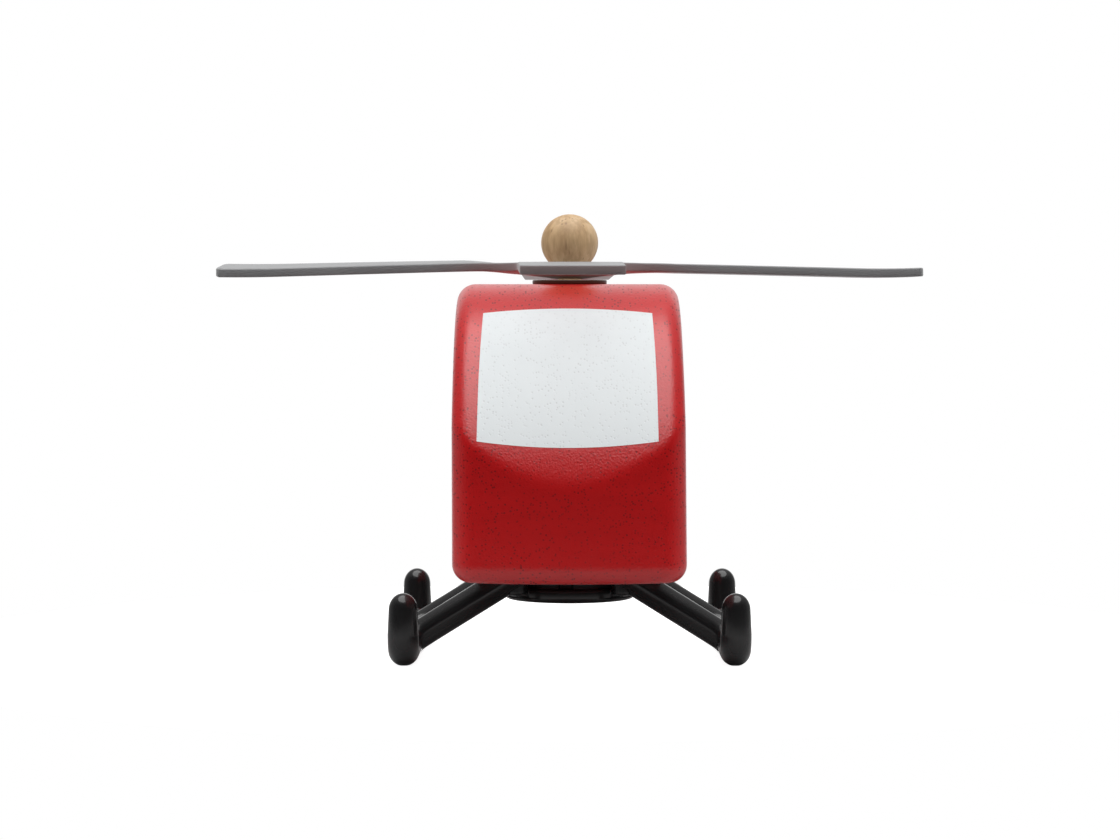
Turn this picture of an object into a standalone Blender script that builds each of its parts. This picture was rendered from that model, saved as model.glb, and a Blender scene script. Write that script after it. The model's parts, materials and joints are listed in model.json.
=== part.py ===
"""Wooden toy helicopter: a rounded rubberwood body on two skids, with a free-turning
four-blade rotor under a wooden ball, and a tail plank with a small tail rotor on its fin.

Frame: metres, +Z up, nose towards -Y, the skids stand on Z = 0.  The main rotor's axis is
vertical, and every sub-part hangs on one empty that stands under it.
"""
import math

import bmesh
import bpy
from mathutils import Vector

MM = 0.001
GAP = 0.3 * MM                    # air left between two touching pieces

# --- driving dimensions -------------------------------------------------------------------
ROTOR_RADIUS = 113.1 * MM
TAIL_REACH = 141.1 * MM           # from the rotor's axis back to the fin's rear corner
AXIS_Y = -(TAIL_REACH - ROTOR_RADIUS) / 2      # puts the origin under the middle of the whole toy

BODY_WIDTH = 71.0 * MM
BODY_BOTTOM = 28.6 * MM
BODY_TOP = 118.8 * MM
NOSE_Y = -82 * MM                 # places along the body are counted from the rotor's axis
REAR_Y = 60 * MM
EDGE_RADIUS = 5.8 * MM            # rounding where the sides meet the top and the windscreen
CORNER_RADIUS = 7 * MM            # upright front corners, in plan
SOLE_RADIUS = 5.5 * MM            # rounding round the underside

BALL_RADIUS = 9.2 * MM
POST_RADIUS = 3.6 * MM
ROTOR_PLAY = 0.4 * MM             # room between the post and the rotor's bore
POST_DEPTH = 22 * MM              # how far the post is let into the body
WASHER_RADIUS = 12 * MM
WASHER_THICKNESS = 0.9 * MM
BLADE_THICKNESS = 2.8 * MM

SKID_X = 51.6 * MM                # half the track
SKID_RADIUS = 4.85 * MM
SKID_TIP_RADIUS = 4.5 * MM
SKID_DOME = 5.2 * MM              # height of the dome on an upturned end
SKID_END_Y = 44.5 * MM            # centre of the upturned ends
SKID_TOP = 23.0 * MM
SKID_BEND = 5.6 * MM
SKID_FLAT = 0.3 * MM              # depth of the flat under each runner
SKID_AXIS_Z = SKID_RADIUS - SKID_FLAT
STRUT_RADIUS = 4.55 * MM
STRUT_Y = 17.5 * MM
STRUT_SLOPE = math.radians(31.9)
HUB_RADIUS = 21.2 * MM
HUB_BOTTOM = 17.3 * MM
HUB_STEP = 21.6 * MM              # height of the ledge between the hub's two tiers

BOOM_THICKNESS = 14 * MM
TAIL_AXIS_Y = 124 * MM
TAIL_AXIS_Z = 98 * MM
TAIL_ROTOR_RADIUS = 18 * MM

# --- clean start and collections ----------------------------------------------------------
for old in list(bpy.data.objects):
    bpy.data.objects.remove(old, do_unlink=True)

parts = bpy.data.collections.new("toy_helicopter")
cutters = bpy.data.collections.new("cutters")
bpy.context.scene.collection.children.link(parts)
bpy.context.scene.collection.children.link(cutters)

mast = bpy.data.objects.new("rotor_axis", None)
mast.location = (0, AXIS_Y, 0)
parts.objects.link(mast)


def finish_material(name, color, roughness):
    """A plain Principled material for one sub-part."""
    material = bpy.data.materials.new(name)
    material.use_nodes = True
    shader = material.node_tree.nodes["Principled BSDF"]
    shader.inputs["Base Color"].default_value = (*color, 1.0)
    shader.inputs["Roughness"].default_value = roughness
    shader.inputs["Metallic"].default_value = 0.0
    return material


RED_WOOD = ((0.42, 0.015, 0.018), 0.45)
PALE_WOOD = ((0.50, 0.33, 0.19), 0.60)
GREY_PLASTIC = ((0.30, 0.31, 0.30), 0.50)
BLACK_PLASTIC = ((0.012, 0.012, 0.013), 0.18)
STEEL = ((0.45, 0.45, 0.46), 0.35)


# --- shape helpers ------------------------------------------------------------------------
def add_object(name, data, finish=None, cutter=False):
    """Link an object under the rotor axis, as a part or as a cutter."""
    obj = bpy.data.objects.new(name, data)
    (cutters if cutter else parts).objects.link(obj)
    obj.parent = mast
    if cutter:
        obj.hide_render = True
        obj.display_type = "WIRE"
    elif finish:
        color, roughness = finish
        data.materials.append(finish_material(name, color, roughness))
    return obj


def add_mesh(name, bm, finish=None, cutter=False, smooth=True):
    mesh = bpy.data.meshes.new(name)
    bm.to_mesh(mesh)
    bm.free()
    if smooth:
        mesh.shade_smooth()
        mesh.set_sharp_from_angle(angle=math.radians(35))
    return add_object(name, mesh, finish, cutter)


def cylinder(name, radius, start, end, finish=None, cutter=False, segments=28, chamfer=0.0):
    """A round bar between two points, its ends chamfered when asked."""
    start, end = Vector(start), Vector(end)
    bm = bmesh.new()
    bmesh.ops.create_cone(bm, cap_ends=True, segments=segments, radius1=radius, radius2=radius,
                          depth=(end - start).length)
    if chamfer:
        rims = [edge for edge in bm.edges if any(len(face.verts) > 4 for face in edge.link_faces)]
        bmesh.ops.bevel(bm, geom=rims, offset=chamfer, segments=2, profile=0.5, affect="EDGES")
    obj = add_mesh(name, bm, finish, cutter)
    obj.location = (start + end) / 2
    obj.rotation_euler = (end - start).to_track_quat("Z", "Y").to_euler()
    return obj


def block(name, low, high, cutter=True):
    """A box between two corners."""
    low, high = Vector(low), Vector(high)
    bm = bmesh.new()
    bmesh.ops.create_cube(bm, size=1.0)
    bmesh.ops.scale(bm, vec=high - low, verts=bm.verts)
    obj = add_mesh(name, bm, cutter=cutter, smooth=False)
    obj.location = (low + high) / 2
    return obj


def boolean(obj, other, operation="DIFFERENCE"):
    modifier = obj.modifiers.new(f"{operation.lower()}_{other.name}", "BOOLEAN")
    modifier.object = other
    modifier.operation = operation
    modifier.solver = "EXACT"


def arc(center, radius, start, end, steps):
    """Points on a circle from one angle to another, in degrees."""
    angles = [math.radians(start + (end - start) * i / steps) for i in range(steps + 1)]
    return [(center[0] + radius * math.cos(a), center[1] + radius * math.sin(a)) for a in angles]


def turned(name, profile, finish, steps=40):
    """A solid of revolution: the profile is (radius, height) down its outer side."""
    mesh = bpy.data.meshes.new(name)
    mesh.from_pydata([(r, 0, z) for r, z in profile], [(i, i + 1) for i in range(len(profile) - 1)], [])
    obj = add_object(name, mesh, finish)
    screw = obj.modifiers.new("turned", "SCREW")
    screw.steps = screw.render_steps = steps
    screw.use_merge_vertices = True
    screw.merge_threshold = 0.00001
    return obj


def curve_mesh(name, curve, rotation=(0, 0, 0), finish=None, cutter=False):
    """Turn a curve into a closed mesh object that can be cut and joined."""
    source = bpy.data.objects.new(name + "_curve", curve)
    source.rotation_euler = rotation
    parts.objects.link(source)
    bpy.context.view_layer.update()
    evaluated = source.evaluated_get(bpy.context.evaluated_depsgraph_get())
    mesh = bpy.data.meshes.new_from_object(evaluated)
    place = source.matrix_world.copy()
    bpy.data.objects.remove(source, do_unlink=True)
    bm = bmesh.new()
    bm.from_mesh(mesh)
    bmesh.ops.remove_doubles(bm, verts=bm.verts, dist=0.00001)
    bmesh.ops.recalc_face_normals(bm, faces=bm.faces)
    bpy.data.meshes.remove(mesh)
    obj = add_mesh(name, bm, finish, cutter)
    obj.matrix_basis = place
    return obj


def outline_curve(name, points, thickness, rounding, steps=2):
    """A flat outline with a thickness, its edges rounded inside the outline."""
    curve = bpy.data.curves.new(name, "CURVE")
    curve.dimensions = "2D"
    curve.fill_mode = "BOTH"
    curve.extrude = thickness / 2 - rounding
    curve.bevel_depth = rounding
    curve.bevel_resolution = steps
    curve.offset = -rounding
    spline = curve.splines.new("POLY")
    spline.points.add(len(points) - 1)
    for point, (x, y) in zip(spline.points, points):
        point.co = (x, y, 0, 1)
    spline.use_cyclic_u = True
    return curve


SIDE_ON = (math.pi / 2, 0, math.pi / 2)      # lays an outline's x along Y and its y along Z


# --- body ---------------------------------------------------------------------------------
SCREEN_RADIUS = 89 * MM           # the windscreen's long curve
CROWN_RADIUS = 69 * MM            # it tightens a little before it runs out into the flat top
CROWN_END_Y = -8 * MM
CROWN_ANGLE = 55                  # degrees above level at which one curve takes over from the other
BACK_START_Y = 18 * MM
BACK_RADIUS = 62 * MM
BELLY_END_Y = 8 * MM
BELLY_RADIUS = 60 * MM
TAIL_TAPER = 23 * MM              # how far each flank comes in towards the tail, in plan
NOSE_RADIUS = 100 * MM            # how far the nose bows forward, in plan
OVERSIZE = 12 * MM                # what each blank has beyond the surface that the other one gives


def side_outline():
    """The body from the side: (Y, Z), from the belly round the nose, over the top and back."""
    crown = (CROWN_END_Y, BODY_TOP - CROWN_RADIUS)
    turn = math.radians(CROWN_ANGLE)
    apart = SCREEN_RADIUS - CROWN_RADIUS
    screen = (crown[0] + apart * math.cos(turn), crown[1] - apart * math.sin(turn))
    back_angle = 90 - math.degrees(math.asin((REAR_Y - BACK_START_Y) / BACK_RADIUS))
    belly_angle = math.degrees(math.asin((REAR_Y - BELLY_END_Y) / BELLY_RADIUS)) - 90
    points = [(screen[0] - SCREEN_RADIUS, BODY_BOTTOM - OVERSIZE)]
    points += arc(screen, SCREEN_RADIUS, 180, 180 - CROWN_ANGLE, 12)
    points += arc(crown, CROWN_RADIUS, 180 - CROWN_ANGLE, 90, 7)[1:]
    points += arc((BACK_START_Y, BODY_TOP - BACK_RADIUS), BACK_RADIUS, 90, back_angle, 8)
    points += arc((BELLY_END_Y, BODY_BOTTOM + BELLY_RADIUS), BELLY_RADIUS, belly_angle, -90, 12)
    points += [(BELLY_END_Y - OVERSIZE, BODY_BOTTOM), (BELLY_END_Y - 2 * OVERSIZE, BODY_BOTTOM - OVERSIZE)]
    return points


def plan_outline():
    """The body from above: (X, Y), a bowed nose, straight flanks and a boat tail."""
    half = BODY_WIDTH / 2 + GAP
    bow_end = math.degrees(math.asin((half - CORNER_RADIUS) / (NOSE_RADIUS - CORNER_RADIUS)))
    bow = arc((0, NOSE_Y + NOSE_RADIUS), NOSE_RADIUS, -90, -90 + bow_end, 5)
    corner_y = bow[-1][1] + CORNER_RADIUS * math.cos(math.radians(bow_end))
    corner = arc((half - CORNER_RADIUS, corner_y), CORNER_RADIUS, -90 + bow_end, 0, 5)
    taper = []
    for i in range(9):
        along = i / 8
        taper.append((half - TAIL_TAPER * (1 - math.cos(along * math.pi / 2)), along * (REAR_Y + GAP)))
    right = bow + corner[1:] + taper
    left = [(-x, y) for x, y in reversed(right[1:])]
    return right + left


def build_body():
    height = 2 * (BODY_TOP - BODY_BOTTOM + OVERSIZE)
    plan = outline_curve("body_plan", plan_outline(), height, SOLE_RADIUS, 3)
    blank = curve_mesh("body_plan_blank", plan, cutter=True)
    blank.location.z = BODY_TOP + OVERSIZE
    side = outline_curve("body_side", side_outline(), BODY_WIDTH, EDGE_RADIUS, 3)
    body = curve_mesh("body", side, SIDE_ON, RED_WOOD)
    boolean(body, blank, "INTERSECT")
    return body


body = build_body()

body_post_hole = cylinder("post_hole", POST_RADIUS + GAP, (0, 0, BODY_TOP - POST_DEPTH - GAP),
                          (0, 0, BODY_TOP + OVERSIZE), cutter=True)
boolean(body, body_post_hole)

# --- main rotor ---------------------------------------------------------------------------
ROTOR_YAW = math.radians(0.5)     # the rotor at rest is a touch off square
WASHER_BOTTOM = BODY_TOP + GAP
HUB_UNDERSIDE = WASHER_BOTTOM + WASHER_THICKNESS + GAP
CREST_RADIUS = 34 * MM            # the sheet rises to a crest, then droops to the tips
CREST_RISE = 2.55 * MM
TIP_DROOP = 2.0 * MM
HUB_FLAT = 3 * MM
ROOT_CHORD = 33 * MM
TIP_CHORD = 30.5 * MM
CROTCH = 20 * MM                  # half the side of the square that the four blades grow from
FILLET_END = 29.5 * MM
TIP_CORNER = 1.2 * MM
CORNER_START = 0.6                # share of the half chord at which a tip's rounding starts
STEP_GROWTH = 1.15                # the rows of a blade's grid lie a little wider apart towards the tip
BLADE_LIFT = {(-1, 0): 0.5 * MM, (1, 0): -0.4 * MM}           # the two side blades aren't quite level
WARPED_SIDE = (-1, 0)             # the blade on the toy's right is twisted, its front edge down
ROOT_WARP, TIP_WARP = math.radians(2.15), math.radians(3.65)
CURL_START = 92 * MM
TIP_CURL = {(-1, 0): 0.45 * MM, (1, 0): 0.75 * MM}            # their tips turn up a little


def sheet_height(radius):
    """Height of the rotor sheet above its hub."""
    rise = min(max((radius - HUB_FLAT) / (CREST_RADIUS - HUB_FLAT), 0), 1)
    out = max((radius - CREST_RADIUS) / (ROTOR_RADIUS - CREST_RADIUS), 0)
    return CREST_RISE * (1 - (1 - rise) ** 1.8) - TIP_DROOP * out * out / (out + 0.05)


def half_chord(radius):
    """Half the width of a blade, with a fillet into its neighbours at the root."""
    def taper(r):
        share = (r - CREST_RADIUS) / (ROTOR_RADIUS - CREST_RADIUS)
        return (ROOT_CHORD + (TIP_CHORD - ROOT_CHORD) * share) / 2
    fillet = max((FILLET_END - radius) / (FILLET_END - CROTCH), 0) ** 3 * (CROTCH - taper(CROTCH))
    return taper(radius) + fillet


def blade_cross(name, across, along, finish, shape, thickness, edge):
    """A four-blade cross cut from one square grid; shape() puts each of its points in place."""
    cells = across + 2 * along
    bm = bmesh.new()
    bmesh.ops.create_grid(bm, x_segments=cells, y_segments=cells, size=cells / 2)
    corners = [face for face in bm.faces if min(abs(face.calc_center_median().x),
                                                abs(face.calc_center_median().y)) > across / 2]
    bmesh.ops.delete(bm, geom=corners, context="FACES")
    for vert in bm.verts:
        vert.co = shape(round(vert.co.x), round(vert.co.y), across / 2, along)
    obj = add_mesh(name, bm, finish, smooth=False)
    solid = obj.modifiers.new("thickness", "SOLIDIFY")
    solid.thickness = thickness
    solid.offset = 1
    rounding = obj.modifiers.new("rounding", "BEVEL")
    rounding.width = edge
    rounding.segments = 1
    rounding.limit_method = "ANGLE"
    rounding.angle_limit = math.radians(50)
    return obj


def rotor_point(x, y, half, along):
    """Where a point of the cross's grid goes on the main rotor."""
    if max(abs(x), abs(y)) <= half:
        spot = Vector((x, y, 0)) * CROTCH / half
        return Vector((spot.x, spot.y, sheet_height(spot.length)))
    side = (math.copysign(1, x), 0) if abs(x) > half else (0, math.copysign(1, y))
    out = Vector((side[0], side[1], 0))
    step = (max(abs(x), abs(y)) - half) / along
    offset = (out.x * y - out.y * x) / half
    radius = CROTCH + step ** STEP_GROWTH * (ROTOR_RADIUS - CROTCH)
    if step == 1:
        radius -= TIP_CORNER * (max(abs(offset) - CORNER_START, 0) / (1 - CORNER_START)) ** 2
    wide = offset * half_chord(radius)
    spot = out * radius + Vector((-out.y, out.x, 0)) * wide
    spot.z = sheet_height(spot.length)
    root = min(max((radius - CROTCH) / (CREST_RADIUS - CROTCH), 0), 1)
    curl = max(radius - CURL_START, 0) / (ROTOR_RADIUS - CURL_START)
    spot.z += BLADE_LIFT.get(side, 0) * root + TIP_CURL.get(side, 0) * curl ** 2
    if side == WARPED_SIDE:
        outer = max((radius - CREST_RADIUS) / (ROTOR_RADIUS - CREST_RADIUS), 0)
        spot.z -= wide * math.tan(ROOT_WARP + (TIP_WARP - ROOT_WARP) * outer) * root
    return spot


main_rotor = blade_cross("main_rotor", 6, 9, GREY_PLASTIC, rotor_point, BLADE_THICKNESS, 0.5 * MM)
main_rotor.location.z = HUB_UNDERSIDE
main_rotor.rotation_euler.z = ROTOR_YAW
rotor_bore = cylinder("rotor_bore", POST_RADIUS + ROTOR_PLAY, (0, 0, BODY_TOP),
                      (0, 0, BODY_TOP + BALL_RADIUS), cutter=True)
boolean(main_rotor, rotor_bore)

WASHER_EDGE = 0.25 * MM
washer_bore = POST_RADIUS + GAP
spacer_washer = turned("spacer_washer", [
    (washer_bore, WASHER_THICKNESS), (WASHER_RADIUS - WASHER_EDGE, WASHER_THICKNESS),
    (WASHER_RADIUS, WASHER_THICKNESS - WASHER_EDGE), (WASHER_RADIUS, WASHER_EDGE),
    (WASHER_RADIUS - WASHER_EDGE, 0), (washer_bore, 0), (washer_bore, WASHER_THICKNESS)], BLACK_PLASTIC)
spacer_washer.location.z = WASHER_BOTTOM

BALL_Z = HUB_UNDERSIDE + BLADE_THICKNESS + 2 * GAP + math.sqrt(BALL_RADIUS ** 2 - POST_RADIUS ** 2)
PEG_PAST_CENTER = 1 * MM          # how far a peg reaches past the middle of its ball
POST_TOP = BALL_Z + PEG_PAST_CENTER


def wooden_ball(name, radius, center, axis, peg_radius, peg_end):
    """A ball with a blind hole for the peg that it is glued on."""
    bm = bmesh.new()
    bmesh.ops.create_uvsphere(bm, u_segments=24, v_segments=14, radius=radius)
    ball = add_mesh(name, bm, PALE_WOOD)
    ball.location = center
    center, axis = Vector(center), Vector(axis)
    boolean(ball, cylinder(name + "_hole", peg_radius + GAP, center - axis * 2 * radius,
                           center + axis * (peg_end + GAP), cutter=True, segments=20))
    return ball


rotor_ball = wooden_ball("rotor_ball", BALL_RADIUS, (0, 0, BALL_Z), (0, 0, 1), POST_RADIUS, PEG_PAST_CENTER)
rotor_post = cylinder("rotor_post", POST_RADIUS, (0, 0, BODY_TOP - POST_DEPTH), (0, 0, POST_TOP), PALE_WOOD,
                      segments=24, chamfer=0.5 * MM)

# --- landing gear -------------------------------------------------------------------------
HUB_TOP = BODY_BOTTOM - GAP
DRUM_RADIUS = 19.4 * MM
HUB_EDGE = 1.6 * MM
LOBE_RADIUS = 3.8 * MM            # upright rounded lobes that the struts run into
LOBE_X = 17.3 * MM
LOBE_Y = 16.6 * MM
LOBE_BOTTOM = 19.9 * MM
NOTCH_WIDTH = 4.5 * MM
NOTCH_X = -1.2 * MM
NOTCH_DEPTH = 2.5 * MM
NOTCH_TOP = 26.5 * MM
STRUT_FOOT_Z = 4.9 * MM           # where a strut's axis meets the skid's axis
STRUT_INNER_X = 17.5 * MM
TENON_RADIUS = 2.6 * MM
TENON_REACH = 2.2 * MM            # how far a strut's tenon goes into the skid past its wall
SCREW_CIRCLE = 11 * MM
SCREW_RADIUS = 1.5 * MM
SCREW_HEAD_RADIUS = 3.2 * MM
SCREW_HEAD_HEIGHT = 1.8 * MM
SCREW_SEAT = 20.2 * MM            # the face in the hub that the screw heads pull up against
SCREW_LENGTH = 22 * MM

hub_rim = arc((HUB_RADIUS - HUB_EDGE, HUB_BOTTOM + HUB_EDGE), HUB_EDGE, 0, -90, 3)
gear_hub = turned("gear_hub", [
    (0, HUB_TOP), (DRUM_RADIUS, HUB_TOP), (DRUM_RADIUS, HUB_STEP), (HUB_RADIUS - HUB_EDGE / 3, HUB_STEP),
    (HUB_RADIUS, HUB_STEP - HUB_EDGE / 3)] + hub_rim + [(0, HUB_BOTTOM)], BLACK_PLASTIC)


def strut_line(side, end):
    """Foot and head of a strut's axis."""
    foot = Vector((side * SKID_X, end * STRUT_Y, STRUT_FOOT_Z))
    run = SKID_X - STRUT_INNER_X
    head = Vector((side * STRUT_INNER_X, end * STRUT_Y, STRUT_FOOT_Z + run * math.tan(STRUT_SLOPE)))
    return foot, head


corners = [(side, end, f"{'front' if end < 0 else 'rear'}_{'left' if side > 0 else 'right'}")
           for side in (1, -1) for end in (-1, 1)]

for side, end, name in corners:
    lobe_foot = Vector((side * LOBE_X, end * LOBE_Y, LOBE_BOTTOM))
    lobe = cylinder(f"lobe_{name}", LOBE_RADIUS, lobe_foot, lobe_foot + Vector((0, 0, HUB_TOP - LOBE_BOTTOM)),
                    cutter=True, segments=20)
    boolean(gear_hub, lobe, "UNION")

for side, end, name in corners:
    foot, head = strut_line(side, end)
    along = (head - foot).normalized()
    boolean(gear_hub, cylinder(f"pocket_{name}", STRUT_RADIUS + GAP, foot, head + along * GAP, cutter=True,
                               segments=24))

notch = block("notch", (NOTCH_X - NOTCH_WIDTH / 2, -HUB_RADIUS, HUB_STEP),
              (NOTCH_X + NOTCH_WIDTH / 2, -DRUM_RADIUS + NOTCH_DEPTH, NOTCH_TOP))
boolean(gear_hub, notch)

above_hub = block("body_underside", (-2 * HUB_RADIUS, -2 * HUB_RADIUS, HUB_TOP),
                  (2 * HUB_RADIUS, 2 * HUB_RADIUS, HUB_TOP + 4 * HUB_EDGE))


def build_strut(side, end, name):
    """A round bar from hub to skid, trimmed flat under the body, with a tenon into the skid."""
    foot, head = strut_line(side, end)
    along = (head - foot).normalized()
    strut = cylinder(f"strut_{name}", STRUT_RADIUS, foot, head, BLACK_PLASTIC, segments=24)
    wall = Vector((side * SKID_X, end * (STRUT_Y + 2 * STRUT_RADIUS), SKID_AXIS_Z))
    other = Vector((side * SKID_X, end * (STRUT_Y - 2 * STRUT_RADIUS), SKID_AXIS_Z))
    boolean(strut, cylinder(f"saddle_{name}", SKID_RADIUS + GAP, wall, other, cutter=True, segments=32))
    tenon = cylinder(f"tenon_{name}", TENON_RADIUS, foot + along * TENON_REACH,
                     foot + along * 3 * STRUT_RADIUS, cutter=True, segments=16)
    boolean(strut, tenon, "UNION")
    boolean(strut, above_hub)
    return strut


struts = [build_strut(side, end, name) for side, end, name in corners]


def skid_path():
    """One skid's centreline and its radius at each point: (Y, Z, radius), rounded off at both tips."""
    dome = []
    for angle in (84, 70, 56, 42, 28, 14, 0):
        rise = math.radians(angle)
        height = SKID_TOP - SKID_DOME * (1 - math.sin(rise))
        dome.append((SKID_END_Y, height, SKID_TIP_RADIUS * math.cos(rise)))
    turn = arc((SKID_END_Y - SKID_BEND, SKID_AXIS_Z + SKID_BEND), SKID_BEND, 0, -90, 6)
    bend = [(y, z, SKID_RADIUS) for y, z in turn]
    inner = [(SKID_END_Y / 3, SKID_AXIS_Z, SKID_RADIUS)]
    half = dome + bend + inner
    return half + [(-y, z, radius) for y, z, radius in reversed(half)]


def build_skid(side, name):
    """A tube with both ends turned up, with a flat under the runner and a bore for each tenon."""
    curve = bpy.data.curves.new(name, "CURVE")
    curve.dimensions = "3D"
    curve.bevel_depth = 1.0
    curve.bevel_resolution = 4
    curve.use_fill_caps = True
    spline = curve.splines.new("POLY")
    path = skid_path()
    spline.points.add(len(path) - 1)
    for point, (y, z, radius) in zip(spline.points, path):
        point.co = (side * SKID_X, y, z, 1)
        point.radius = radius
    skid = curve_mesh(name, curve, finish=BLACK_PLASTIC)
    floor = block(f"floor_{name}", (side * SKID_X - 2 * SKID_RADIUS, -2 * SKID_END_Y, -2 * SKID_RADIUS),
                  (side * SKID_X + 2 * SKID_RADIUS, 2 * SKID_END_Y, 0))
    boolean(skid, floor)
    for end in (-1, 1):
        foot, head = strut_line(side, end)
        along = (head - foot).normalized()
        tenon_bore = cylinder(f"tenon_bore_{name}_{end}", TENON_RADIUS + GAP,
                              foot + along * (TENON_REACH - GAP), foot + along * 2 * SKID_RADIUS,
                              cutter=True, segments=16)
        boolean(skid, tenon_bore)
    return skid


skid_left = build_skid(1, "skid_left")
skid_right = build_skid(-1, "skid_right")


def screw_profile():
    """A pan-head wood screw, head down: (radius, height) from its tip down its outer side."""
    tip = SCREW_SEAT + SCREW_LENGTH
    seat = SCREW_SEAT - GAP
    crown = seat - SCREW_HEAD_HEIGHT
    return [(0, tip), (SCREW_RADIUS, tip - 2 * SCREW_RADIUS), (SCREW_RADIUS, seat), (SCREW_HEAD_RADIUS, seat),
            (SCREW_HEAD_RADIUS, seat - SCREW_HEAD_HEIGHT / 2), (SCREW_HEAD_RADIUS / 2, crown), (0, crown)]


def screw_spots():
    angles = [math.radians(90 + 120 * i) for i in range(3)]
    return [Vector((SCREW_CIRCLE * math.cos(a), SCREW_CIRCLE * math.sin(a), 0)) for a in angles]


for i, spot in enumerate(screw_spots(), start=1):
    tip = spot + Vector((0, 0, SCREW_SEAT + SCREW_LENGTH + GAP))
    screw = turned(f"gear_screw_{i}", screw_profile(), STEEL, 14)
    screw.location = spot
    shank_hole = cylinder(f"screw_hole_{i}", SCREW_RADIUS + GAP, spot, tip, cutter=True, segments=14)
    head_pocket = cylinder(f"screw_pocket_{i}", SCREW_HEAD_RADIUS + GAP, spot,
                           spot + Vector((0, 0, SCREW_SEAT)), cutter=True, segments=18)
    boolean(gear_hub, shank_hole)
    boolean(gear_hub, head_pocket)
    boolean(body, shank_hole)

# --- tail ---------------------------------------------------------------------------------
BOOM_EDGE = 3 * MM
BOOM_OVERRUN = 8 * MM             # blank left in front of the joint face, then sawn off flush
DOWEL_RADIUS = 3 * MM
DOWEL_REACH = 15 * MM
DOWEL_HEIGHTS = (73 * MM, 89 * MM)


def boom_curve():
    """The tail from the side: (Y, Z), a boom that runs up into a swept fin, all one plank."""
    root_y = REAR_Y - BOOM_OVERRUN
    root_low, root_high = (root_y, 62 * MM), (root_y, 100 * MM)
    belly = [(92 * MM, 70 * MM), (121 * MM, 77.5 * MM), (134 * MM, 84 * MM)]
    fin = [(TAIL_REACH, 110 * MM), (138 * MM, 116 * MM), (130 * MM, 115.5 * MM)]
    spine = [(119 * MM, 106.5 * MM), (105 * MM, 98.5 * MM), (82 * MM, 97.5 * MM)]
    curve = bpy.data.curves.new("boom", "CURVE")
    curve.dimensions = "2D"
    curve.fill_mode = "BOTH"
    curve.extrude = BOOM_THICKNESS / 2 - BOOM_EDGE
    curve.bevel_depth = BOOM_EDGE
    curve.bevel_resolution = 2
    curve.offset = -BOOM_EDGE
    curve.resolution_u = 5
    points = [root_low] + belly + fin + spine + [root_high]
    spline = curve.splines.new("BEZIER")
    spline.bezier_points.add(len(points) - 1)
    spline.use_cyclic_u = True
    for point, (y, z) in zip(spline.bezier_points, points):
        point.co = (y, z, 0)
        kind = "VECTOR" if y == root_y else "AUTO"
        point.handle_left_type = point.handle_right_type = kind
    return curve


tail_boom = curve_mesh("tail_boom", boom_curve(), SIDE_ON, RED_WOOD)
joint_saw = block("joint_saw", (-BOOM_THICKNESS, REAR_Y - 2 * BOOM_OVERRUN, BODY_BOTTOM),
                  (BOOM_THICKNESS, REAR_Y + GAP, BODY_TOP))
boolean(tail_boom, joint_saw)
for name, z in zip(("lower", "upper"), DOWEL_HEIGHTS):
    front, rear = Vector((0, REAR_Y - DOWEL_REACH, z)), Vector((0, REAR_Y + DOWEL_REACH, z))
    over = Vector((0, GAP, 0))
    cylinder(f"boom_dowel_{name}", DOWEL_RADIUS, front, rear, PALE_WOOD, segments=18, chamfer=0.5 * MM)
    dowel_hole = cylinder(f"dowel_hole_{name}", DOWEL_RADIUS + GAP, front - over, rear + over, cutter=True,
                          segments=18)
    boolean(body, dowel_hole)
    boolean(tail_boom, dowel_hole)

# --- tail rotor, on the left side of the fin ----------------------------------------------
TAIL_BLADE_THICKNESS = 2 * MM
TAIL_BALL_RADIUS = 4.5 * MM
TAIL_PEG_RADIUS = 1.6 * MM
TAIL_WASHER_RADIUS = 4 * MM
TAIL_CHORD = 8.5 * MM
TAIL_CROTCH = 5 * MM
TAIL_ROTOR_TURN = math.radians(28)
TAIL_PEG_DEPTH = 11 * MM
TAIL_CORNER = 2 * MM

tail_washer_x = BOOM_THICKNESS / 2 + GAP
tail_rotor_x = tail_washer_x + WASHER_THICKNESS + GAP
tail_ball_x = tail_rotor_x + TAIL_BLADE_THICKNESS + GAP + TAIL_BALL_RADIUS


def tail_rotor_point(x, y, half, along):
    """Where a point of the cross's grid goes on the tail rotor."""
    far = max(abs(x), abs(y)) - half
    if far <= 0:
        return Vector((x, y, 0)) * TAIL_CROTCH / half
    share = far / along
    offset = (y if abs(x) > half else x) / half
    radius = TAIL_CROTCH + share * (TAIL_ROTOR_RADIUS - TAIL_CROTCH)
    if share == 1:
        radius -= TAIL_CORNER * abs(offset) ** 3
    wide = offset * (TAIL_CHORD / 2 + max(1 - 2 * share, 0) ** 2 * (TAIL_CROTCH - TAIL_CHORD / 2))
    if abs(x) > half:
        return Vector((math.copysign(radius, x), wide, 0))
    return Vector((wide, math.copysign(radius, y), 0))


tail_rotor = blade_cross("tail_rotor", 4, 4, GREY_PLASTIC, tail_rotor_point, TAIL_BLADE_THICKNESS, 0.4 * MM)
tail_rotor.location = (tail_rotor_x, TAIL_AXIS_Y, TAIL_AXIS_Z)
tail_rotor.rotation_mode = "ZYX"
tail_rotor.rotation_euler = (0, math.pi / 2, TAIL_ROTOR_TURN)
tail_axis = Vector((0, TAIL_AXIS_Y, TAIL_AXIS_Z))
tail_peg_start = tail_axis + Vector((-TAIL_PEG_DEPTH + BOOM_THICKNESS / 2, 0, 0))
tail_peg_end = tail_axis + Vector((tail_ball_x + PEG_PAST_CENTER, 0, 0))
tail_peg_hole = cylinder("tail_peg_hole", TAIL_PEG_RADIUS + GAP, tail_peg_start - Vector((GAP, 0, 0)),
                         tail_axis + Vector((tail_ball_x, 0, 0)), cutter=True, segments=16)
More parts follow.
